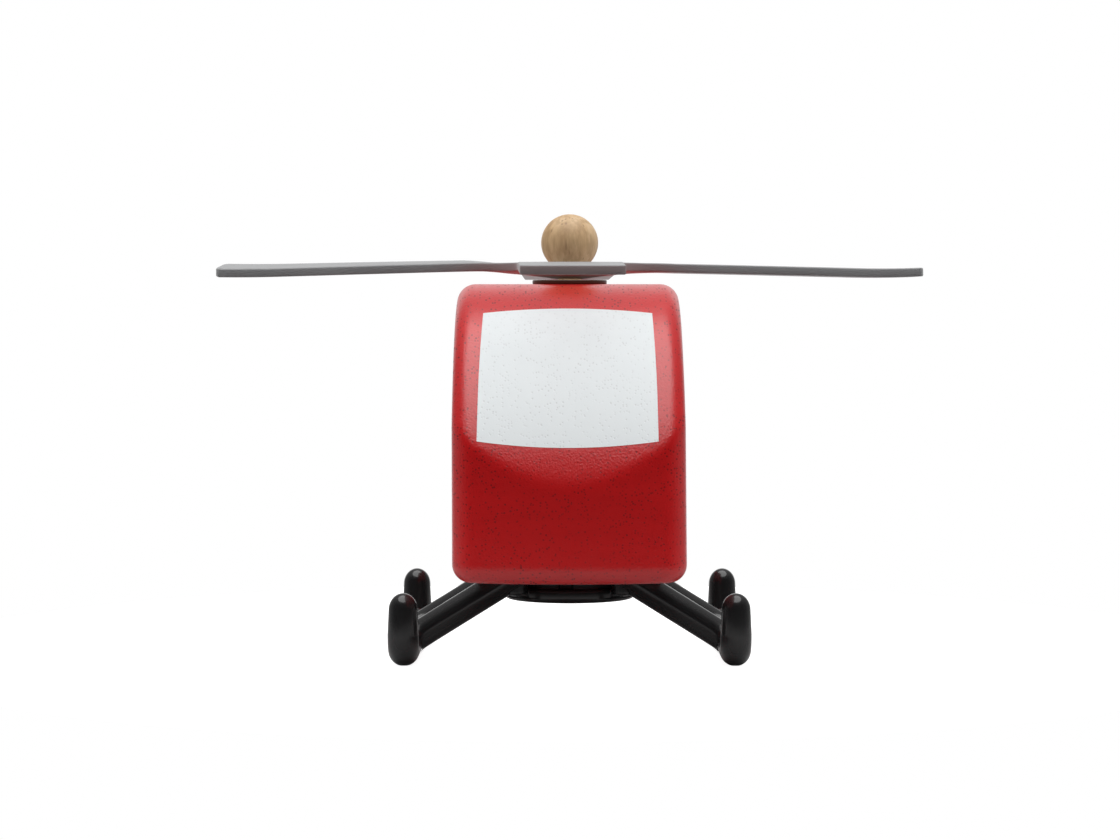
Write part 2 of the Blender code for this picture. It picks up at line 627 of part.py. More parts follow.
tail_rotor_peg = cylinder("tail_rotor_peg", TAIL_PEG_RADIUS, tail_peg_start, tail_peg_end, STEEL, segments=16,
                          chamfer=0.3 * MM)
boolean(tail_boom, tail_peg_hole)
boolean(tail_rotor, tail_peg_hole)
tail_rotor_ball = wooden_ball("tail_rotor_ball", TAIL_BALL_RADIUS, tail_axis + Vector((tail_ball_x, 0, 0)),
                              (1, 0, 0), TAIL_PEG_RADIUS, PEG_PAST_CENTER)

tail_bore = TAIL_PEG_RADIUS + GAP
tail_washer = turned("tail_washer", [
    (tail_bore, WASHER_THICKNESS), (TAIL_WASHER_RADIUS, WASHER_THICKNESS), (TAIL_WASHER_RADIUS, 0),
    (tail_bore, 0), (tail_bore, WASHER_THICKNESS)], BLACK_PLASTIC, 20)
tail_washer.location = tail_axis + Vector((tail_washer_x, 0, 0))
tail_washer.rotation_euler = (0, math.pi / 2, 0)
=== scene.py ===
"""Looks of the wooden toy helicopter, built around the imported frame.

Metres, +Z up, nose towards -Y.  Every visible piece is made here with a fine surface, at the
place and size of the CAD node that it stands for.  Shapes are worked out about the main rotor's
axis, which is upright, and then moved to it.
"""
import json
import math

import bmesh
import bpy
import numpy as np
from mathutils import Matrix, Vector

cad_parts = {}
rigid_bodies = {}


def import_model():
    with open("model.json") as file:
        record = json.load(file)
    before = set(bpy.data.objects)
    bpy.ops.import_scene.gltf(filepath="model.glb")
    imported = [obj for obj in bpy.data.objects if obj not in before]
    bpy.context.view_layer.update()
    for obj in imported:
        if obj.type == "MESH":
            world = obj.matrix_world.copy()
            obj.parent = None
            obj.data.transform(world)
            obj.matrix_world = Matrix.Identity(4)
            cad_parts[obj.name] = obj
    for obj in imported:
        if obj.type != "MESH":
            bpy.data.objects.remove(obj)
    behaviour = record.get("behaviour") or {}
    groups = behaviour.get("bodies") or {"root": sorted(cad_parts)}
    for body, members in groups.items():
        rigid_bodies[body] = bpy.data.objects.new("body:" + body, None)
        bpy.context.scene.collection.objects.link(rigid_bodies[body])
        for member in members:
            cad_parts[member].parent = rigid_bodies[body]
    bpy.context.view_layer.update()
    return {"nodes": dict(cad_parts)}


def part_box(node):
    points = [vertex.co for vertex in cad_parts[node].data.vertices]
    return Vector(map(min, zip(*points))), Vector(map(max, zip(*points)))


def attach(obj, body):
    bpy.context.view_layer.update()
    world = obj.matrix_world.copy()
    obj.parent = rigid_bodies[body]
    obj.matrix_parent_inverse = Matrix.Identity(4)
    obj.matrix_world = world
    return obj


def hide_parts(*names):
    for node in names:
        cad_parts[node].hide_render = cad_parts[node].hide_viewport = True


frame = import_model()

MM = 0.001
AIRFRAME = "airframe"
CORNERS = [(side, end, f"{'front' if end < 0 else 'rear'}_{'left' if side > 0 else 'right'}")
           for side in (1, -1) for end in (-1, 1)]


def middle(node):
    """The middle of a CAD node's box."""
    low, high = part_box(node)
    return (low + high) / 2


axis_y = middle("rotor_ball").y
TO_AXIS = Matrix.Translation((0, axis_y, 0))
UNMOVED = Matrix.Identity(4)
body_low, body_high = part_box("body")
hub_low, hub_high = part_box("gear_hub")
boom_low, boom_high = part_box("tail_boom")
tail_axis = middle("tail_rotor_ball") - Vector((0, axis_y, 0))

# --- camera and light ---------------------------------------------------------------------
SENSOR_WIDTH = 36                               # this and the lens in millimetres, as Blender has them
LENS = 99.45
EYE = Vector((0, axis_y - 1.0, 0.1137))
PITCH = math.radians(2.22)
YAW = math.radians(0.178)
# How bright the room is in each direction: (axis, where it starts, where it is full, brightness)
GLOWS = (("Y", -0.6, 0.5, 0.26), ("Y", 0.70, 0.96, 0.75), ("Z", 0.45, 0.95, 0.35))
# Broad lamps: (name, strength, where it stands)
FILLS = (("front_fill", 0.375, (0, -1, 0.15)), ("left_fill", 0.9, (1, -0.1, 0.15)),
         ("right_fill", 0.9, (-1, -0.1, 0.15)))
FILL_SPREAD = 50
FLOOR_RADIUS = 0.22


def add_camera():
    data = bpy.data.cameras.new("camera")
    data.sensor_width = SENSOR_WIDTH
    data.lens = LENS
    data.clip_start = 0.01
    data.clip_end = 50
    camera = bpy.data.objects.new("camera", data)
    camera.location = EYE
    camera.rotation_euler = (math.pi / 2 - PITCH, 0, YAW)
    bpy.context.scene.collection.objects.link(camera)
    bpy.context.scene.camera = camera
    bpy.context.scene.view_settings.view_transform = "Standard"


class Nodes:
    """A shorthand for building one material's node tree."""

    def __init__(self, name):
        self.material = bpy.data.materials.new(name)
        self.material.use_nodes = True
        self.tree = self.material.node_tree
        self.shader = self.tree.nodes["Principled BSDF"]

    def add(self, kind, inputs=None, **settings):
        node = self.tree.nodes.new(kind)
        for key, value in settings.items():
            setattr(node, key, value)
        for key, value in (inputs or {}).items():
            self.feed(node.inputs[key], value)
        return node

    def feed(self, socket, value):
        if isinstance(value, bpy.types.NodeSocket):
            self.tree.links.new(value, socket)
        else:
            socket.default_value = value

    def math(self, operation, a, b=0.0, c=0.0):
        return self.add("ShaderNodeMath", {0: a, 1: b, 2: c}, operation=operation).outputs[0]

    def point(self, scale=(1, 1, 1)):
        """Where a point is in the frame at rest, in metres, stretched by a scale."""
        place = self.add("ShaderNodeTexCoord").outputs["Object"]
        return self.add("ShaderNodeMapping", {"Vector": place, "Scale": scale}).outputs[0]

    def part(self, axis):
        """Where a point is along "X", "Y" or "Z", in metres."""
        return self.add("ShaderNodeSeparateXYZ", {"Vector": self.point()}).outputs[axis]

    def noise(self, scale, vector, detail=3.0, roughness=0.5):
        return self.add("ShaderNodeTexNoise", {"Vector": vector, "Scale": scale, "Detail": detail,
                                               "Roughness": roughness}).outputs["Fac"]

    def ramp(self, value, *stops):
        """A colour ramp through (position, colour) stops."""
        node = self.add("ShaderNodeValToRGB", {"Fac": value})
        elements = node.color_ramp.elements
        while len(elements) < len(stops):
            elements.new(0.5)
        for element, (position, color) in zip(elements, stops):
            element.position = position
            element.color = (*color, 1)
        return node.outputs["Color"]

    def band(self, value, low, high):
        """0 at low, 1 at high, smooth between.  Low may be the greater of the two."""
        return self.add("ShaderNodeMapRange", {"Value": value, "From Min": low, "From Max": high},
                        interpolation_type="SMOOTHSTEP").outputs["Result"]

    def mix(self, factor, a, b):
        node = self.add("ShaderNodeMix", data_type="RGBA")
        self.feed(node.inputs["Factor"], factor)
        self.feed(node.inputs[6], a)
        self.feed(node.inputs[7], (*b, 1))
        return node.outputs[2]

    def bump(self, height, strength, distance, under=None):
        node = self.add("ShaderNodeBump", {"Height": height, "Strength": strength, "Distance": distance})
        if under is not None:
            self.feed(node.inputs["Normal"], under)
        return node.outputs["Normal"]

    def finish(self, **values):
        for key, value in values.items():
            self.feed(self.shader.inputs[key.replace("_", " ")], value)
        return self.material


def sun(name, energy, spread, toward):
    """A far lamp in the direction given, spread over an angle in degrees."""
    light = bpy.data.lights.new(name, "SUN")
    light.energy = energy
    light.angle = math.radians(spread)
    lamp = bpy.data.objects.new(name, light)
    lamp.rotation_euler = Vector(toward).to_track_quat("Z", "Y").to_euler()
    bpy.context.scene.collection.objects.link(lamp)
    return lamp


def light_room():
    """A pale sweep, dark towards the camera and white behind, with a large softbox overhead and
    three fills, which give no highlights.  Returns the lamps."""
    world = bpy.data.worlds.new("studio")
    world.use_nodes = True
    tree = world.node_tree
    background = tree.nodes["Background"]
    direction = tree.nodes.new("ShaderNodeTexCoord").outputs["Generated"]
    split = tree.nodes.new("ShaderNodeSeparateXYZ")
    tree.links.new(direction, split.inputs[0])
    glow = None
    for axis, low, high, bright in GLOWS:
        part = tree.nodes.new("ShaderNodeMapRange")
        part.interpolation_type = "SMOOTHSTEP"
        tree.links.new(split.outputs[axis], part.inputs["Value"])
        for key, value in {"From Min": low, "From Max": high, "To Min": 0.0, "To Max": bright}.items():
            part.inputs[key].default_value = value
        if glow is None:
            glow = part.outputs["Result"]
            continue
        total = tree.nodes.new("ShaderNodeMath")
        tree.links.new(glow, total.inputs[0])
        tree.links.new(part.outputs["Result"], total.inputs[1])
        glow = total.outputs[0]
    seen = tree.nodes.new("ShaderNodeLightPath").outputs["Is Camera Ray"]
    strength = tree.nodes.new("ShaderNodeMix")
    tree.links.new(seen, strength.inputs["Factor"])
    tree.links.new(glow, strength.inputs[2])
    strength.inputs[3].default_value = 1.0
    tree.links.new(strength.outputs[0], background.inputs["Strength"])
    background.inputs["Color"].default_value = (1, 1, 1, 1)
    bpy.context.scene.world = world
    lamps = [sun("softbox", 2.7, 64, (0, -0.15, 1))]
    for name, energy, toward in FILLS:
        fill = sun(name, energy, FILL_SPREAD, toward)
        fill.visible_glossy = False
        fill.data.cycles.use_multiple_importance_sampling = False
        lamps.append(fill)
    return lamps


def let_through(lamps, pieces):
    """These pieces don't shade the lamps' light."""
    clear = bpy.data.collections.new("clear_of_lamps")
    for obj in pieces:
        clear.objects.link(obj)
    for member in clear.collection_objects:
        member.light_linking.link_state = "EXCLUDE"
    for lamp in lamps:
        lamp.light_linking.blocker_collection = clear


def add_floor():
    """A pale floor with a glow that only the camera sees, so that it looks white there."""
    n = Nodes("pale_floor")
    tone = n.ramp(n.noise(3, n.point(), 2), (0.3, (0.41, 0.41, 0.41)), (0.7, (0.43, 0.43, 0.43)))
    seen = n.add("ShaderNodeLightPath").outputs["Is Camera Ray"]
    n.finish(Base_Color=tone, Roughness=0.8, Emission_Color=(1, 1, 1, 1),
             Emission_Strength=n.math("MULTIPLY", seen, 0.95))
    bm = bmesh.new()
    bmesh.ops.create_circle(bm, cap_ends=True, segments=96, radius=FLOOR_RADIUS)
    mesh = bpy.data.meshes.new("floor")
    bm.to_mesh(mesh)
    bm.free()
    mesh.materials.append(n.material)
    floor = bpy.data.objects.new("floor", mesh)
    bpy.context.scene.collection.objects.link(floor)


# --- materials ----------------------------------------------------------------------------
PRINT_FOOT = 69.6 * MM
PRINT_HEAD = 111 * MM
RED_BOUNCE_FULL = 20 * MM                             # how far from X = 0 the rotor's edges and underside get the full painted red bounce light
RED_BOUNCE_END = 48 * MM


def pores(n, along, size, cover):
    """Open pores of straight-grained wood: small pits drawn out along the grain, 1 in a pore."""
    place = n.point(along)
    cells = n.add("ShaderNodeTexVoronoi", {"Vector": place, "Scale": size, "Randomness": 1.0})
    draw = n.add("ShaderNodeSeparateColor", {"Color": cells.outputs["Color"]}).outputs[0]
    chosen = n.math("GREATER_THAN", draw, 1 - cover)
    pit = n.math("SUBTRACT", 1.0, n.band(cells.outputs["Distance"], 0.16, 0.40))
    crowd = n.math("MULTIPLY_ADD", n.band(n.noise(110, n.point(), 2), 0.30, 0.65), 0.6, 0.4)
    return n.math("MULTIPLY", n.math("MULTIPLY", pit, chosen), crowd)


def stained_wood():
    """Red stain over rubberwood: satin, with the grain and the pores showing through."""
    n = Nodes("red_stained_wood")
    pore = pores(n, (1, 0.12, 1), 1050, 0.56)
    rings = n.noise(150, n.point((0.10, 0.03, 1.0)), 4, 0.6)
    cloud = n.noise(28, n.point((1, 0.4, 1)), 3)
    base = n.ramp(rings, (0.25, (0.49, 0.0085, 0.0100)), (0.55, (0.54, 0.0100, 0.0115)),
                  (0.8, (0.58, 0.0125, 0.0135)))
    base = n.mix(n.math("MULTIPLY", cloud, 0.25), base, (0.45, 0.007, 0.009))
    base = n.mix(n.math("MULTIPLY", pore, 0.8), base, (0.09, 0.002, 0.003))
    rough = n.math("MULTIPLY_ADD", n.noise(420, n.point((1, 0.15, 1)), 3), 0.10, 0.25)
    rough = n.math("MULTIPLY_ADD", pore, 0.10, rough)
    normal = n.bump(n.noise(1500, n.point((1, 0.3, 1)), 3), 0.55, 0.0002)
    normal = n.bump(n.math("SUBTRACT", 0.0, pore), 0.12, 0.0002, normal)
    return n.finish(Base_Color=base, Roughness=rough, Normal=normal, Specular_IOR_Level=0.65)


def white_print():
    """White ink over the same wood: its pores show faintly, and it is painted a little lighter at the foot,
    where less light falls.
    """
    n = Nodes("white_ink")
    pore = pores(n, (1, 0.12, 1), 1100, 0.50)
    base = n.ramp(n.noise(60, n.point(), 3), (0.3, (0.67, 0.705, 0.715)), (0.7, (0.71, 0.745, 0.755)))
    # painted light: lighter towards the foot, making up for the light that falls there less
    base = n.mix(n.band(n.part("Z"), PRINT_HEAD, PRINT_FOOT), base, (0.81, 0.845, 0.855))
    base = n.mix(n.math("MULTIPLY", pore, 0.24), base, (0.42, 0.40, 0.40))
    rough = n.math("MULTIPLY_ADD", n.noise(500, n.point()), 0.12, 0.50)
    normal = n.bump(n.math("SUBTRACT", 0.0, pore), 0.4, 0.00015)
    return n.finish(Base_Color=base, Roughness=rough, Normal=normal, Specular_IOR_Level=0.4)


def bare_wood(name, along):
    """Unfinished pale rubberwood, its grain drawn out by the small part of the stretch."""
    n = Nodes(name)
    pore = pores(n, along, 900, 0.22)
    grain = n.noise(260, n.point(along), 5, 0.6)
    streak = n.noise(420, n.point(along), 4, 0.65)
    base = n.ramp(grain, (0.28, (0.44, 0.27, 0.135)), (0.5, (0.62, 0.42, 0.23)), (0.75, (0.72, 0.53, 0.33)))
    base = n.mix(n.math("MULTIPLY", n.band(streak, 0.45, 0.62), 0.55), base, (0.42, 0.26, 0.13))
    base = n.mix(n.math("MULTIPLY", pore, 0.6), base, (0.26, 0.15, 0.075))
    rough = n.math("MULTIPLY_ADD", grain, 0.15, 0.48)
    normal = n.bump(grain, 0.12, 0.0002)
    normal = n.bump(n.math("SUBTRACT", 0.0, pore), 0.5, 0.00012, normal)
    return n.finish(Base_Color=base, Roughness=rough, Normal=normal)


def moulded_plastic(name, dark, light, rough, grain, painted_red_bounce=None):
    """Injection-moulded plastic: an even colour with a faint flow mottle and a fine mould texture.
    Near the plane X = 0 its edges and underside may get painted red bounce light from the body below."""
    n = Nodes(name)
    flow = n.noise(38, n.point(), 4, 0.55)
    scuff = n.noise(700, n.point((1, 1, 0.4)), 4, 0.7)
    base = n.ramp(flow, (0.3, dark), (0.7, light))
    if painted_red_bounce:
        # painted light: a red bounce from the body, on the edges and underside near X = 0
        near = n.band(n.math("ABSOLUTE", n.part("X")), RED_BOUNCE_END, RED_BOUNCE_FULL)
        facing = n.add("ShaderNodeNewGeometry").outputs["Normal"]
        upward = n.add("ShaderNodeSeparateXYZ", {"Vector": facing}).outputs["Z"]
        base = n.mix(n.math("MULTIPLY", near, n.band(upward, 0.7, 0.3)), base, painted_red_bounce)
    roughness = n.math("MULTIPLY_ADD", scuff, 0.10, rough)
    normal = n.bump(n.noise(2600, n.point(), 2), grain, 0.0001)
    normal = n.bump(flow, 0.05, 0.0015, normal)
    return n.finish(Base_Color=base, Roughness=roughness, Normal=normal)


def plated_steel():
    """Bright zinc plate with a fine brushed grain."""
    n = Nodes("zinc_plated_steel")
    brush = n.noise(900, n.point((1, 1, 0.1)), 4, 0.6)
    base = n.ramp(brush, (0.3, (0.50, 0.50, 0.50)), (0.7, (0.66, 0.66, 0.655)))
    rough = n.math("MULTIPLY_ADD", brush, 0.2, 0.24)
    return n.finish(Base_Color=base, Roughness=rough, Metallic=1.0, Normal=n.bump(brush, 0.15, 0.00005))


# --- shape helpers ------------------------------------------------------------------------
def piece(name, mesh, material, body, nodes=(), sharp=50):
    """Put a finished mesh in the scene as one piece that rides on a body."""
    mesh.materials.clear()
    mesh.materials.append(material)
    mesh.shade_smooth()
    mesh.set_sharp_from_angle(angle=math.radians(sharp))
    obj = bpy.data.objects.new(name, mesh)
    bpy.context.scene.collection.objects.link(obj)
    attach(obj, body)
    if nodes:
        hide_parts(*nodes)
    return obj


def paint(node, material):
    """Give a CAD node that stays in the scene its material."""
    node_mesh = frame["nodes"][node].data
    node_mesh.materials.clear()
    node_mesh.materials.append(material)


def mesh_from(name, bm, place=TO_AXIS, weld=1e-7):
    """A mesh from a bmesh, welded, with its faces pointing out, put in place."""
    bmesh.ops.remove_doubles(bm, verts=bm.verts, dist=weld)
    bmesh.ops.recalc_face_normals(bm, faces=bm.faces)
    bmesh.ops.transform(bm, matrix=place, verts=bm.verts)
    mesh = bpy.data.meshes.new(name)
    bm.to_mesh(mesh)
    bm.free()
    return mesh


def skin(bm, rows, ring=True, loop=False):
    """Faces through rows of points.  A row is a closed ring, and the ends are closed off unless
    the rows loop back to the first."""
    rows = np.asarray(rows, float)
    count, across = rows.shape[:2]
    verts = [bm.verts.new(point) for point in rows.reshape(-1, 3)]
    for i in range(count if loop else count - 1):
        for j in range(across if ring else across - 1):
            a, b = i * across, (i + 1) % count * across
            k = (j + 1) % across
            bm.faces.new((verts[a + j], verts[a + k], verts[b + k], verts[b + j]))
    if ring and not loop:
        bm.faces.new(verts[:across])
        bm.faces.new(verts[-across:])


def arc(center, radius, start, end, steps):
    """Points on a circle from one angle to another, in degrees."""
    angles = np.radians(np.linspace(start, end, steps + 1))
    return [(center[0] + radius * math.cos(a), center[1] + radius * math.sin(a)) for a in angles]


def rounded(points, radius, steps=4):
    """A closed chain of (radius, height) corners, each rounded off."""
    out = []
    for i, here in enumerate(points):
        here = Vector(here)
        before = Vector(points[i - 1]) - here
        after = Vector(points[(i + 1) % len(points)]) - here
        reach = min(radius, before.length * 0.45, after.length * 0.45)
        start, end = here + before.normalized() * reach, here + after.normalized() * reach
        for k in range(steps + 1):
            t = k / steps
            out.append(tuple(start * (1 - t) ** 2 + here * 2 * t * (1 - t) + end * t ** 2))
    return out


def turned(bm, profile, steps=96, loop=False):
    """A solid of revolution about Z from (radius, height) points, from axis to axis or in a loop."""
    angles = np.linspace(0, 2 * math.pi, steps, endpoint=False)
    rows = [[Vector((r * math.cos(a), r * math.sin(a), z)) for a in angles] for r, z in profile]
    skin(bm, rows, loop=loop)


# --- body ---------------------------------------------------------------------------------
HALF_WIDTH = body_high.x
BODY_BOTTOM = body_low.z
BODY_TOP = body_high.z
NOSE_Y = body_low.y - axis_y
REAR_Y = body_high.y - axis_y
EDGE_RADIUS = 5.8 * MM
CORNER_RADIUS = 7 * MM
SOLE_RADIUS = 5.5 * MM
REAR_RADIUS = 4 * MM
RIDGE_SOFTNESS = 0.6 * MM
CROWN_RADIUS = 69 * MM                          # the windscreen's curve tightens towards the roof
CROWN_CENTER = (-8 * MM, BODY_TOP - CROWN_RADIUS)
CROWN_ANGLE = math.radians(55)
SCREEN_RADIUS = 89 * MM
SCREEN_CENTER = (CROWN_CENTER[0] + (SCREEN_RADIUS - CROWN_RADIUS) * math.cos(CROWN_ANGLE),
                 CROWN_CENTER[1] - (SCREEN_RADIUS - CROWN_RADIUS) * math.sin(CROWN_ANGLE))
BACK_CENTER = (18 * MM, BODY_TOP - 62 * MM)
BACK_RADIUS = 62 * MM
BELLY_CENTER = (8 * MM, BODY_BOTTOM + 60 * MM)
BELLY_RADIUS = 60 * MM
TAIL_TAPER = 23 * MM
DRAFT = 0.35 * MM                               # the sides lean in a little towards the roof
NOSE_RADIUS = 100 * MM
LEAN = 0.55 * MM                                # the roof lies this far to the toy's right of the sole
BISECTIONS = 34


def round_max(a, b, radius):
    """Distance outside both of two faces, their common edge rounded."""
    inside = np.minimum(np.maximum(a, b), -radius)
    return inside + np.hypot(np.maximum(a + radius, 0), np.maximum(b + radius, 0))


def soft_max(a, b, width):
    """The greater of two distances, blended where they differ by less than the width."""
    return np.maximum(a, b) + np.maximum(width - np.abs(a - b), 0) ** 2 / (4 * width)


def outline_distance(y, z):
    """Distance outside the windscreen, roof and back, seen from the side."""
    screen = np.hypot(y - SCREEN_CENTER[0], z - SCREEN_CENTER[1]) - SCREEN_RADIUS
    under = SCREEN_CENTER[0] - SCREEN_RADIUS - y
    crown = np.hypot(y - CROWN_CENTER[0], z - CROWN_CENTER[1]) - CROWN_RADIUS
    back = np.hypot(y - BACK_CENTER[0], z - BACK_CENTER[1]) - BACK_RADIUS
    behind, above = y - SCREEN_CENTER[0], z - SCREEN_CENTER[1]
    past_joint = behind * math.sin(CROWN_ANGLE) + above * math.cos(CROWN_ANGLE)
    front = np.where(past_joint > 0, crown, np.where(z > SCREEN_CENTER[1], screen, under))
    roof = np.where(y > BACK_CENTER[0], back, z - BODY_TOP)
    return np.where(y < CROWN_CENTER[0], front, roof)


def body_distance(points):
    """Roughly the distance outside the body; 0 on its surface.  Points are about the rotor's axis."""
    y, z = points[..., 1], points[..., 2]
    along = np.clip(y / REAR_Y, 0, 1)
    rise = np.clip((z - BODY_BOTTOM) / (BODY_TOP - BODY_BOTTOM), 0, 1)
    x = np.abs(points[..., 0] + LEAN * rise)
    taper = TAIL_TAPER * (1 - np.cos(along * math.pi / 2))
    flank = x - HALF_WIDTH - RIDGE_SOFTNESS / 4 + DRAFT * rise + taper
    bow = np.where(y < 0, np.hypot(x, y - NOSE_Y - NOSE_RADIUS) - NOSE_RADIUS, -BODY_TOP)
    belly = np.where(y > BELLY_CENTER[0], np.hypot(y - BELLY_CENTER[0], z - BELLY_CENTER[1]) - BELLY_RADIUS,
                     BODY_BOTTOM - z)
    shape = soft_max(round_max(outline_distance(y, z), flank, EDGE_RADIUS),
                     round_max(bow, flank, CORNER_RADIUS), RIDGE_SOFTNESS)
    shape = round_max(shape, belly, SOLE_RADIUS)
    return round_max(shape, y - REAR_Y, REAR_RADIUS)


def on_body(inner, outer):
    """The points where lines from inside the body to outside it cross its surface."""
    low, high = np.zeros(len(inner)), np.ones(len(inner))
    for _ in range(BISECTIONS):
        half = (low + high) / 2
        within = body_distance(inner + (outer - inner) * half[:, None]) < 0
        low, high = np.where(within, half, low), np.where(within, high, half)
    return inner + (outer - inner) * ((low + high) / 2)[:, None]


def outward(points, step=0.05 * MM):
    """Unit normals of the body's surface."""
    slope = np.stack([body_distance(points + shift) - body_distance(points - shift)
                      for shift in np.eye(3) * step], axis=-1)
    return slope / np.linalg.norm(slope, axis=-1, keepdims=True)


def body_mesh(spacing=1.35 * MM, crowding=0.85):
    """The surface seen from the middle of the body, on a grid that is finer towards the edges."""
    low = np.array((-HALF_WIDTH, NOSE_Y, BODY_BOTTOM))
    high = np.array((HALF_WIDTH, REAR_Y, BODY_TOP))
    center, reach = (low + high) / 2, (high - low) / 2
    bm = bmesh.new()
    turn = crowding * math.pi / 2
    for normal in range(3):
        first, second = (normal + 1) % 3, (normal + 2) % 3
        counts = [int(2 * reach[k] / spacing) for k in (first, second)]
        u, v = [np.sin(np.linspace(-turn, turn, count + 1)) / math.sin(turn) for count in counts]
        for side in (-1, 1):
            spot = np.empty((len(u), len(v), 3))
            spot[..., normal] = side
            spot[..., first] = u[:, None]
            spot[..., second] = v[None, :]
            far = center + spot.reshape(-1, 3) * reach * 1.02
            found = on_body(np.broadcast_to(center, far.shape), far)
            skin(bm, found.reshape(len(u), len(v), 3), ring=False)
    return mesh_from("cabin_block", bm, weld=1e-6)


INK_RAISE = 0.07 * MM
INK_SINK = 0.05 * MM
PRINT_HALF_WIDTH = 27.1 * MM
PRINT_TAPER = 1.15 * MM                         # its sides lean in a little, and bow
PRINT_BOW = 0.55 * MM
PRINT_TOP_TAPER = 0.75 * MM
PRINT_SHIFT = -0.6 * MM                         # it isn't quite centred
PRINT_FOOT_BOW = 1.9 * MM
PRINT_HEAD_BOW = 1.4 * MM


def ink_layer(name, inner, outer, shape):
    """A thin closed patch of ink on the body, on a grid of lines that cross its surface."""
    found = on_body(inner.reshape(-1, 3), outer.reshape(-1, 3))
    normal = outward(found)
    over = (found + normal * INK_RAISE).reshape(*shape, 3)
    under = (found - normal * INK_SINK).reshape(*shape, 3)
    bm = bmesh.new()
    skin(bm, over, ring=False)
    skin(bm, under[:, ::-1], ring=False)
    ends = [(over[0], under[0]), (over[-1], under[-1])]
    sides = [(over[:, 0], under[:, 0]), (over[:, -1], under[:, -1])]
    for top, bottom in ends + sides:
        skin(bm, np.stack([top, bottom]), ring=False)
    return mesh_from(name, bm)


def windscreen_ink(columns=72, rows=64):
    """The white windscreen: nearly a rectangle from the front, its top edge and foot a little bowed."""
    u = np.linspace(-1, 1, columns + 1)[None, :]
    v = np.linspace(0, 1, rows + 1)[:, None]
    foot = PRINT_FOOT + PRINT_FOOT_BOW * u ** 2
    head = PRINT_HEAD - PRINT_HEAD_BOW * u ** 2
    z = foot + (head - foot) * v
    bow = PRINT_BOW * np.sin(np.minimum(v * 1.35 + 0.15, 1.5))
    top_taper = PRINT_TOP_TAPER * np.maximum(v - 0.35, 0) ** 1.6
    x = u * (PRINT_HALF_WIDTH - PRINT_TAPER * v + bow - top_taper) + PRINT_SHIFT
    inside, ahead = np.full_like(z, -20 * MM), np.full_like(z, NOSE_Y - 5 * MM)
    inner = np.stack([x, inside, z], axis=-1)
    outer = np.stack([x, ahead, z], axis=-1)
    return ink_layer("windscreen_print", inner, outer, z.shape)


def build_body():
    piece("cabin_block", body_mesh(), RED, AIRFRAME, ["body"], sharp=80)
    piece("windscreen_print", windscreen_ink(), INK, AIRFRAME)


# --- main rotor ---------------------------------------------------------------------------
ROTOR_RADIUS = 113.05 * MM
ROTOR_YAW = math.radians(0.5)
CREST_RADIUS = 34 * MM
CREST_RISE = 2.55 * MM
RISE_CURVE = 1.8
TIP_DROOP = 2.0 * MM
DROOP_EASE = 0.05
HUB_FLAT = 3 * MM
ROOT_CHORD = 33 * MM
TIP_CHORD = 30.5 * MM
CROTCH = 20 * MM
FILLET_END = 29.5 * MM
TIP_CORNER = 1.2 * MM
TIP_STRAIGHT = 0.6                              # the part of a tip's half width that is straight
CELL_SPREAD = 1.15                              # cells grow a little towards the tip
BORE_RADIUS = 4 * MM
BORE_CELLS = 4
BLADE_THICKNESS = 2.8 * MM
BLADE_EDGE = 0.5 * MM
BLADE_LIFT = {(-1, 0): 0.5 * MM, (1, 0): -0.4 * MM}          # the blades aren't quite level
WARPED_SIDE = (-1, 0)
ROOT_WARP, TIP_WARP = math.radians(2.15), math.radians(3.65)
CURL_START = 92 * MM
TIP_CURL = {(-1, 0): 0.45 * MM, (1, 0): 0.75 * MM}
BALL_RADIUS = 9.2 * MM
WASHER_BORE = 3.9 * MM
WASHER_EDGE = 0.35 * MM
WASHER_CLEARANCE = 0.15 * MM
GAP = 0.3 * MM                                  # air that the CAD leaves between touching pieces
hub_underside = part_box("spacer_washer")[1].z + GAP


def sheet_height(radius):
    """Height of the rotor sheet above its hub: it rises to a crest, then droops to the tips."""
    rise = min(max((radius - HUB_FLAT) / (CREST_RADIUS - HUB_FLAT), 0), 1)
    out = max((radius - CREST_RADIUS) / (ROTOR_RADIUS - CREST_RADIUS), 0)
    return CREST_RISE * (1 - (1 - rise) ** RISE_CURVE) - TIP_DROOP * out * out / (out + DROOP_EASE)


def half_chord(radius):
    """Half the width of a blade, with a fillet into its neighbours at the root."""
    def taper(r):
        share = (r - CREST_RADIUS) / (ROTOR_RADIUS - CREST_RADIUS)
        return (ROOT_CHORD + (TIP_CHORD - ROOT_CHORD) * share) / 2

    fillet = max((FILLET_END - radius) / (FILLET_END - CROTCH), 0) ** 3 * (CROTCH - taper(CROTCH))
    return taper(radius) + fillet


def cross_mesh(name, across, along, bore_cells, shape, thickness, edge, place):
    """A four-blade cross cut from one square grid; shape() puts each of its points in place."""
    cells = across + 2 * along
    bm = bmesh.new()
    bmesh.ops.create_grid(bm, x_segments=cells, y_segments=cells, size=cells / 2)
    unwanted = []
    for face in bm.faces:
        spot = face.calc_center_median()
        near, far = sorted((abs(spot.x), abs(spot.y)))
        if near > across / 2 or far < bore_cells:
            unwanted.append(face)
    bmesh.ops.delete(bm, geom=unwanted, context="FACES")
    for vert in bm.verts:
        vert.co = shape(round(vert.co.x), round(vert.co.y), across / 2, along)
    mesh = bpy.data.meshes.new(name + "_sheet")
    bm.to_mesh(mesh)
    bm.free()
    obj = bpy.data.objects.new(name + "_sheet", mesh)
    solid = obj.modifiers.new("thickness", "SOLIDIFY")
    solid.thickness = thickness
    solid.offset = 1
    rounding = obj.modifiers.new("rounding", "BEVEL")
    rounding.width = edge
    rounding.segments = 3
    rounding.limit_method = "ANGLE"
    rounding.angle_limit = math.radians(60)
    return applied(obj, name, place)


